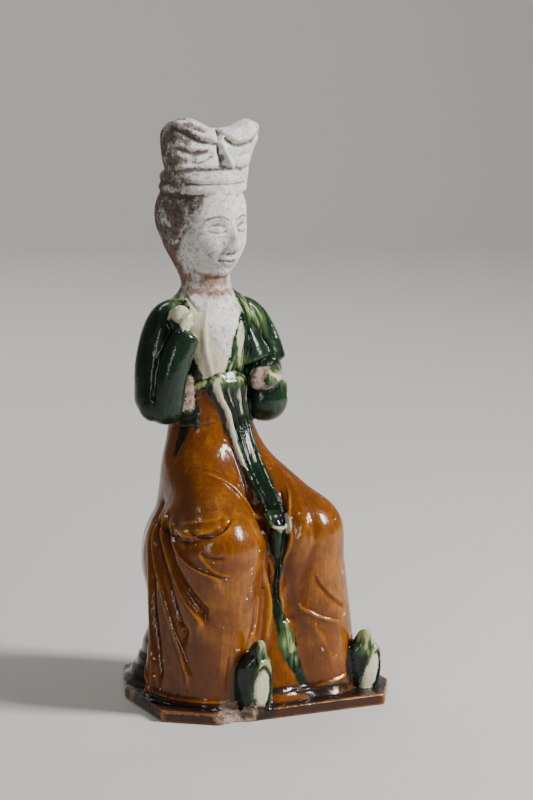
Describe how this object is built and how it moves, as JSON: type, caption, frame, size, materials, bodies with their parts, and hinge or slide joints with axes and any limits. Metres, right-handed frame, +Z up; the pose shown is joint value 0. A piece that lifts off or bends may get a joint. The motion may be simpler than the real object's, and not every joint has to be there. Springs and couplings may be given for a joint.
{
  "type": "tomb attendant figure",
  "caption": "Glazed earthenware tomb figure of a seated court lady with a high bow-shaped topknot, green jacket, amber skirt and upturned shoes, on a thin slab.",
  "frame": {"origin": "centre of the bounding box, on the plane of the underside", "axes": "+Z up, the figure faces -Y, its right arm is towards -X"},
  "size_m": [0.1848, 0.1756, 0.3825],
  "materials": {
    "glaze": "glossy"
  },
  "bodies": {
    "root": {"attendant_figure": "glaze"}
  },
  "joints": []
}
